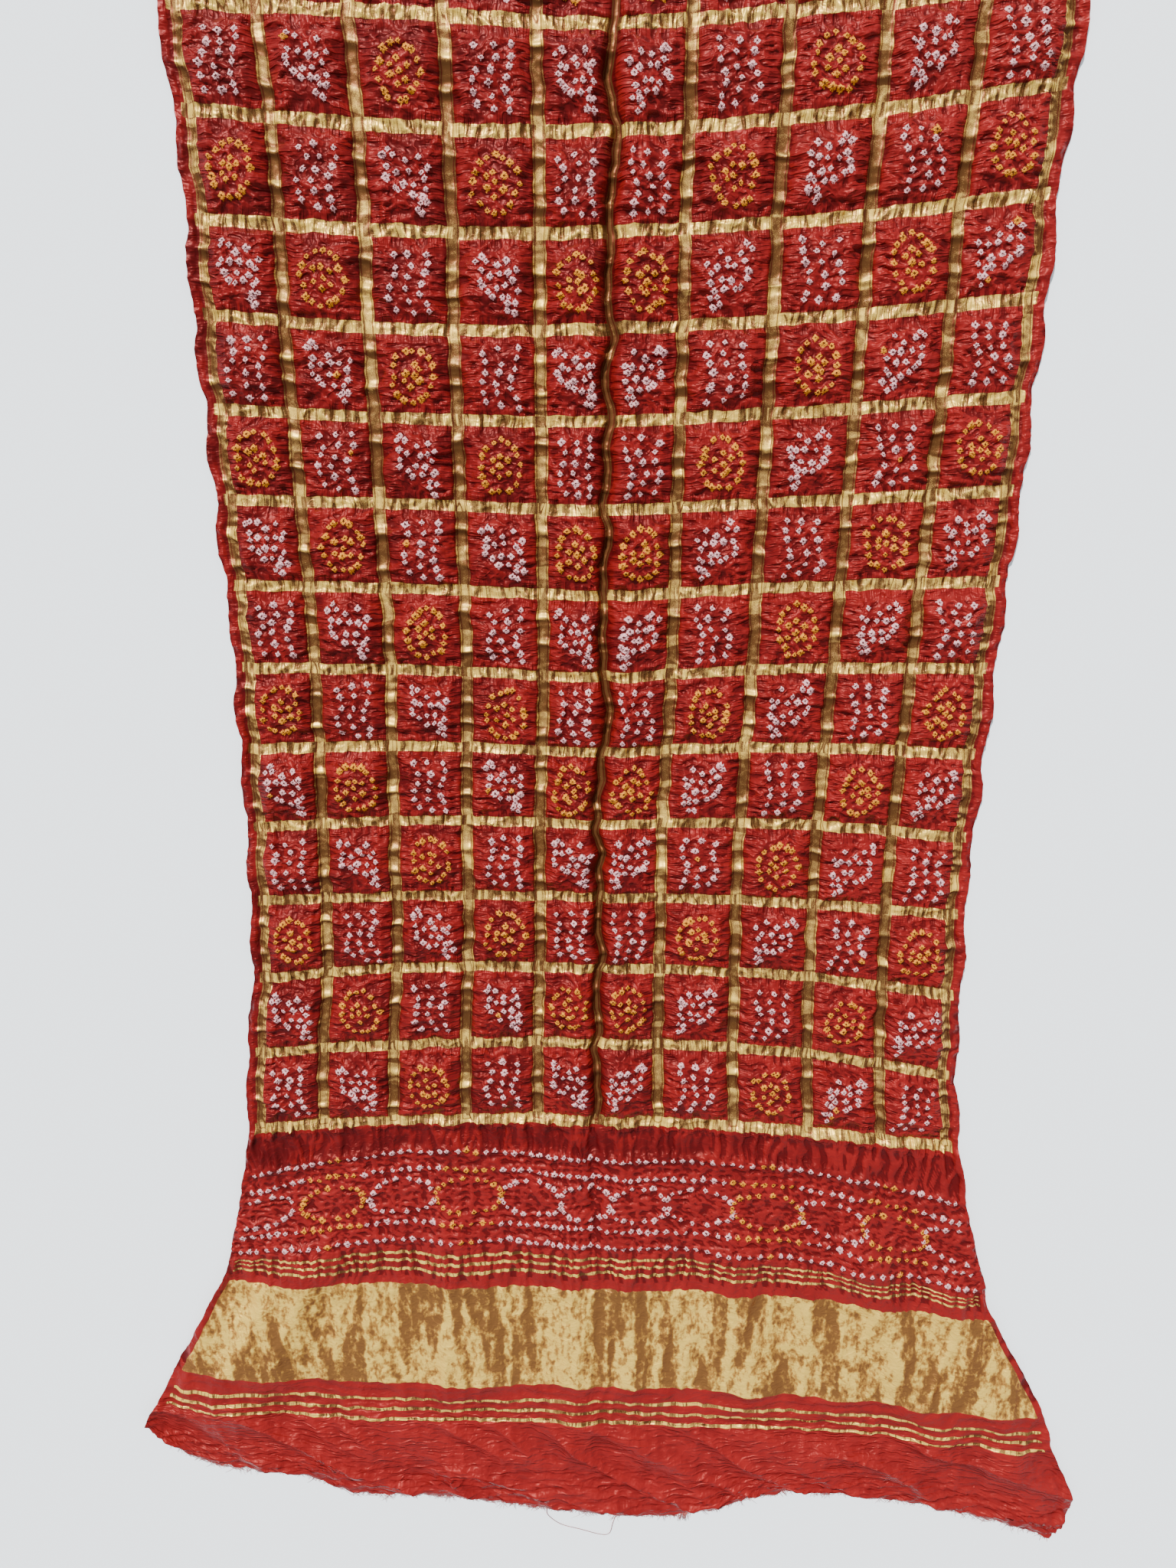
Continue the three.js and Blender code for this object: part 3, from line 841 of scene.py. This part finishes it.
def silkMaterial():
    material = bpy.data.materials.new("satin silk")
    graph = Graph(material)
    weave = graph.attribute("weave")
    placeX, along, fromCentre = graph.parts(weave)
    warp, weft, band = graph.parts(graph.attribute("goldLines"))
    tiedDot = graph.attribute("tiedDot")
    offX, offY, _ = graph.parts(tiedDot)
    nearDot = graph.add("ShaderNodeVectorMath", {0: tiedDot}, operation="LENGTH").outputs["Value"]
    kind, shade, turn = graph.parts(graph.attribute("dotTint"))
    slopeX, slopeY, hollow = graph.parts(graph.attribute("slope"))
    sideways, lengthways, motif = graph.parts(graph.attribute("strain"))

    # wrinkles too fine for the mesh, heights in millimetres
    sideWrinkle = graph.ridge(weave, (0.045, 0.24, 0))
    longWrinkle = graph.ridge(weave, (0.22, 0.03, 0))
    crumple = graph.ridge(weave, (0.10, 0.14, 0))
    wrinkle = graph.math("MULTIPLY", sideWrinkle, graph.level(sideways, 0.75, 0.04))
    wrinkle = graph.math("MULTIPLY_ADD", longWrinkle, graph.level(lengthways, 0.6, 0.05), wrinkle)
    wrinkle = graph.math("MULTIPLY_ADD", crumple, graph.level(motif, 0.4, 0.25), wrinkle)
    wrinkle = graph.math("MULTIPLY", wrinkle, graph.span(warp, -0.5, 1.5, 0.15, 1.0))
    pleated = graph.ridge(weave, (0.035, 0.13, 0))
    wrinkle = graph.math("MULTIPLY_ADD", pleated, graph.span(along, 1310, 1360, 0.0, 0.8), wrinkle)

    # red ground with random darker clouds, brighter towards the end, painted light towards the right, a
    # painted highlight on the crests and painted shade in the hollows
    cloud = graph.noise(weave, (0.03, 0.03, 0), 1.0)
    red = graph.mix(graph.span(cloud, 0.35, 0.7), silk["lit"], silk["deep"])
    # the red grows brighter towards the end, and towards the right side with painted light
    lower = graph.math("MULTIPLY", graph.span(along, 1010, 1060), 0.6)
    rightwardLight = graph.math("MULTIPLY", graph.span(placeX, -150, 480), 0.6)
    red = graph.mix(graph.math("MAXIMUM", lower, rightwardLight), red, silk["bright"])
    # painted highlight: the wrinkles' crests are mixed towards the brighter red
    red = graph.mix(graph.math("MULTIPLY", wrinkle, 0.45), red, silk["bright"])
    # painted shade: the hollows are mixed towards the deep red, less so near the plain end
    inHollow = graph.span(hollow, 0.05, 0.7, 0.0, 0.85)
    shaded = graph.math("MULTIPLY", inHollow, graph.span(along, 1340, 1300, 0.25, 1.0))
    red = graph.mix(shaded, red, silk["deep"])

    # gold: painted glints where a pleat's slope turns the threads towards the light, painted shade in
    # troughs, beside the centre crease and in hollows, and random tone
    thread = graph.noise(weave, (0.9, 2.2, 0), 1.0, 0.7)
    # painted glint and shade: bright and dark streaks across the horizontal lines, cut by thin dark pleat
    # lines
    barGlint = graph.span(graph.noise(weave, (0.16, 0.011, 0), 2.0, 0.5), 0.46, 0.51)
    offPleat = graph.math("SUBTRACT", graph.noise(weave, (0.08, 0.012, 0), 1.0), 0.5)
    pleatShadeLine = graph.span(graph.math("ABSOLUTE", offPleat), 0.006, 0.02)
    # painted glint: bright stretches along the vertical lines
    patchGlint = graph.span(graph.noise(weave, (0.012, 0.05, 0), 1.0), 0.56, 0.60)
    weftGlint = graph.math("MULTIPLY_ADD", barGlint, 0.62, graph.level(slopeX, 0.45, 0.28))
    weftGlint = graph.math("MULTIPLY", weftGlint, graph.level(pleatShadeLine, 0.8, 0.2))
    warpGlint = graph.math("MULTIPLY_ADD", patchGlint, 0.5, graph.level(slopeY, -0.55, 0.28))
    bandMask = graph.span(band, 0.3, -0.3)
    # painted shade in the band's pleat troughs and painted glint on its slopes, with a random sparkle
    valleyShade = graph.span(graph.noise(weave, (0.034, 0.004, 0), 1.0), 0.42, 0.50)
    crackle = graph.noise(weave, (0.11, 0.06, 0), 2.0, 0.75)
    bandGlint = graph.math("MULTIPLY_ADD", valleyShade, 0.75, graph.level(slopeX, 0.6, -0.12))
    bandGlint = graph.math("MULTIPLY_ADD", graph.math("SUBTRACT", crackle, 0.47), 2.6, bandGlint)
    weftGlint = graph.add("ShaderNodeMix", {0: bandMask, 2: weftGlint, 3: bandGlint}).outputs[0]
    weftMask = graph.math("MAXIMUM", graph.span(weft, 0.3, -0.3), bandMask)
    warpMask = graph.span(warp, 0.3, -0.3)
    glint = graph.add("ShaderNodeMix", {0: weftMask, 2: warpGlint, 3: weftGlint}).outputs[0]
    blot = graph.noise(weave, (0.22, 0.20, 0), 1.0, 0.65)
    blot = graph.math("SUBTRACT", blot, 0.5)
    glint = graph.math("MULTIPLY_ADD", blot, graph.level(bandMask, 0.4, 0.5), glint)
    glint = graph.math("MULTIPLY_ADD", graph.math("SUBTRACT", thread, 0.5), 1.1, glint)
    # painted shade: the gold darkens beside the centre crease, above the band
    pinched = graph.span(graph.math("ABSOLUTE", graph.math("SUBTRACT", fromCentre, 3.0)), 10.0, 7.0)
    pinched = graph.math("MULTIPLY", pinched, graph.span(along, 1180, 1100))
    glint = graph.math("MULTIPLY_ADD", pinched, -0.45, glint)
    # painted shade in the hollows
    glint = graph.math("MULTIPLY_ADD", hollow, -0.35, glint)
    # the gold runs from dark to pale with the glint, as painted shade and painted highlight mixed with random
    # tone
    darkest = graph.mix(bandMask, silk["goldDark"], silk["bandDark"])
    middling = graph.mix(bandMask, silk["goldMid"], silk["bandMid"])
    goldColour = graph.mix(graph.span(glint, 0.0, 0.4), darkest, middling)
    goldColour = graph.mix(graph.span(glint, 0.4, 0.95), goldColour, silk["goldPale"])
    edging = graph.math("MULTIPLY", graph.span(warp, -2.1, -1.7), graph.span(warp, -0.7, -1.1))
    goldColour = graph.mix(graph.math("MULTIPLY", edging, 0.7), goldColour, silk["deep"])
    goldMask = graph.math("MAXIMUM", weftMask, warpMask)

    # tied dots: a pale pinched diamond with a dark heart and small pleats round it
    ragged = graph.noise(weave, (0.6, 0.6, 0), 1.0, 0.6)
    reach = graph.math("ADD", graph.math("ABSOLUTE", offX), graph.math("ABSOLUTE", offY))
    reach = graph.math("MULTIPLY_ADD", reach, 0.62, graph.math("MULTIPLY", nearDot, 0.2))
    reach = graph.math("MULTIPLY", reach, graph.level(shade, 0.5, 0.8))
    angle = graph.math("ARCTAN2", offY, offX)
    pleats = graph.math("SINE", graph.math("MULTIPLY_ADD", angle, 7.0, graph.math("MULTIPLY", turn, 20.0)))
    reach = graph.math("MULTIPLY_ADD", graph.math("SUBTRACT", ragged, 0.5), 3.0, reach)
    reach = graph.math("MULTIPLY_ADD", pleats, 0.22, reach)
    dotMask = graph.math("MULTIPLY", graph.span(reach, 2.8, 2.1), graph.span(nearDot, 4.4, 3.6))
    heart = graph.span(reach, 0.95, 0.5)
    dotColour = graph.mix(kind, silk["dotPale"], silk["dotYellow"])
    dotColour = graph.mix(graph.math("MULTIPLY", graph.span(pleats, 0.2, -1.0), 0.35), dotColour, silk["lit"])
    dotColour = graph.mix(graph.math("MULTIPLY", heart, 0.92), dotColour, silk["dotHeart"])

    colour = graph.mix(goldMask, red, goldColour)
    colour = graph.mix(dotMask, colour, dotColour)
    graph.feed(graph.shader.inputs["Base Color"], colour)
    graph.feed(graph.shader.inputs["Metallic"], graph.math("MULTIPLY", goldMask, silk["goldMetal"]))
    rough = graph.math("MULTIPLY_ADD", dotMask, silk["dotRoughness"], silk["roughness"])
    graph.feed(graph.shader.inputs["Roughness"], rough)
    graph.shader.inputs["Specular IOR Level"].default_value = silk["specular"]
    graph.shader.inputs["Specular Tint"].default_value = (*silk["shine"], 1)

    peak = graph.math("MULTIPLY", graph.span(nearDot, 4.2, 0.9), graph.level(pleats, 0.2, 1.0))
    crater = graph.span(nearDot, 1.1, 0.3, 0.0, -0.6)
    height = graph.math("ADD", wrinkle, graph.math("ADD", peak, crater))
    bump = graph.add("ShaderNodeBump", {"Strength": 1.0, "Distance": 0.001, "Height": height})
    graph.feed(graph.shader.inputs["Normal"], bump.outputs[0])
    return material


def makeCloth():
    material = silkMaterial()
    steps = np.linspace(-cloth["selvedge"], cloth["selvedge"], 2 * meshing["halfSteps"] + 1)
    for name, (start, end, count, flat) in meshing["pieces"].items():
        across, along = np.meshgrid(steps, np.linspace(start, end, count + 1))
        points, fields, cornerFields = clothPoints(across, along)
        points[..., 2] = np.maximum(points[..., 2], meshing["lowest"])
        sheet = makeSheet(name, points, fields, cornerFields, material)
        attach(sheet, "root")
        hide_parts("cloth")
        print("cloth piece:", name, len(sheet.data.polygons), "faces")


makeCloth()

# Frayed raw end

fray = {
    "threads": 900,
    "length": (3.5, 14.0),               # shortest and longest, mm
    "reach": 5.15,                       # how far the threads go out from the centre, in check columns
    "thickness": 0.34,
    "lying": 60,                         # loosened threads that lie along the edge
    "lyingReach": (0.15, 0.55),          # shortest and longest, in check columns
    "lyingBow": 3.5,                     # how far they bow out, mm
    "tuft": (1.17, 26, 13.0),            # across, threads, length
    "lowest": 0.0002,                    # metres
    "dark": (0.19, 0.014, 0.012),
    "pale": (0.38, 0.07, 0.05),
    "roughness": 0.6,
}

# the pulled thread's loop: check columns, then distance past the edge, mm
loopThread = [
    (-0.62, 1.5), (-0.6, 10), (-0.42, 21), (-0.12, 26), (0.14, 32), (0.26, 28), (0.3, 14), (0.34, 1.5),
]


def rawEdge(across):
    x, y = place(across, cloth["rawEnd"])
    dx, dy = drift(np.asarray(across, float), np.full(np.shape(across), cloth["rawEnd"]), x, y)
    return x + dx, y + dy


def threadTube(route, thickness, positions, faces):
    route = np.asarray(route, float)
    along = np.gradient(route, axis=0)
    along /= np.maximum(np.linalg.norm(along, axis=1, keepdims=True), 1e-9)
    side = np.cross(along, (0, 0, 1.0))
    side /= np.maximum(np.linalg.norm(side, axis=1, keepdims=True), 1e-9)
    up = np.cross(side, along)
    base = len(positions)
    sides = 3
    for k, point in enumerate(route):
        for i in range(sides):
            turn = 2 * math.pi * i / sides + 0.5
            radius = thickness / 2 * (1.0 if k < len(route) - 1 else 0.4)
            positions.append(point + radius * (math.cos(turn) * side[k] + math.sin(turn) * up[k]))
    for k in range(len(route) - 1):
        for i in range(sides):
            a, b = base + k * sides + i, base + k * sides + (i + 1) % sides
            faces.append((a, a + sides, b + sides, b))
    faces.append(tuple(base + i for i in range(sides)))
    faces.append(tuple(base + (len(route) - 1) * sides + i for i in reversed(range(sides))))


def smoothRoute(points, steps):
    points = np.asarray(points, float)
    t = np.arange(len(points))
    at = np.linspace(0, len(points) - 1, steps)
    return np.stack([smoothCurve(list(zip(t, points[:, i])), at) for i in range(3)], axis=-1)


def makeFrayedEdge():
    random = np.random.default_rng(5)
    positions, faces = [], []
    shortest, longest = fray["length"]
    for k in range(fray["threads"]):
        across = -fray["reach"] + 2 * fray["reach"] * (k + random.random()) / fray["threads"]
        x, y = (float(v) for v in rawEdge(across))
        clump = 0.5 + 0.5 * float(noise(np.array(across * 6.0), np.array(0.5), 41))
        length = shortest + (longest - shortest) * clump * random.random() ** 1.3
        lean = random.normal(0.05, 0.45) + 0.6 * float(noise(np.array(across * 9.0), np.array(0.5), 42))
        curl = random.normal(0, 0.3)
        route = []
        for share in (0, 0.35, 0.7, 1):
            route.append((x + lean * length * share + curl * length * share ** 2, y + 1.2 - length * share,
                          0.9 - 0.6 * share + random.random() * 0.25))
        threadTube(route, fray["thickness"] * random.uniform(0.7, 1.3), positions, faces)
    for k in range(fray["lying"]):
        across = random.uniform(-4.9, 4.7)
        reach = random.uniform(*fray["lyingReach"])
        route = []
        for step in range(7):
            x, y = (float(v) for v in rawEdge(across + reach * step / 6))
            bow = fray["lyingBow"] * random.random() * math.sin(math.pi * step / 6)
            route.append((x, y - 0.5 - bow, 0.5 + 0.5 * random.random()))
        threadTube(smoothRoute(route, 14), fray["thickness"], positions, faces)
    tuftAcross, tuftThreads, tuftLength = fray["tuft"]
    for k in range(tuftThreads):
        x, y = (float(v) for v in rawEdge(tuftAcross + random.normal(0, 0.025)))
        length = tuftLength * random.uniform(0.6, 1.0)
        lean = random.normal(-0.15, 0.3)
        route = [(x + lean * length * share, y + 1 - length * share, 1.4 - share * 0.9)
                 for share in (0, 0.3, 0.6, 1)]
        threadTube(route, fray["thickness"] * 1.2, positions, faces)
    loop = []
    for across, past in loopThread:
        x, y = (float(v) for v in rawEdge(across))
        loop.append((x, y - past, 0.5))
    threadTube(smoothRoute(loop, 44), fray["thickness"] * 2.2, positions, faces)

    originX, originY = cloth["origin"]
    points = (np.array(positions) - (originX, originY, 0)) / 1000
    points[:, 2] = np.maximum(points[:, 2], fray["lowest"])
    mesh = bpy.data.meshes.new("frayed_threads")
    mesh.from_pydata(points.tolist(), [], faces)
    mesh.polygons.foreach_set("use_smooth", np.ones(len(faces), bool))
    threads = bpy.data.objects.new("frayed_threads", mesh)
    bpy.context.scene.collection.objects.link(threads)
    return threads


def threadMaterial():
    material = bpy.data.materials.new("loose silk threads")
    graph = Graph(material)
    place3d = graph.add("ShaderNodeTexCoord").outputs["Object"]
    tone = graph.noise(place3d, (160, 160, 160), 2.0)
    colour = graph.mix(graph.span(tone, 0.35, 0.65), fray["dark"], fray["pale"])
    graph.feed(graph.shader.inputs["Base Color"], colour)
    graph.shader.inputs["Roughness"].default_value = fray["roughness"]
    return material


threads = makeFrayedEdge()
threads.data.materials.append(threadMaterial())
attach(threads, "root")
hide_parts("frayed_edge")
print("frayed edge:", len(threads.data.polygons), "faces")
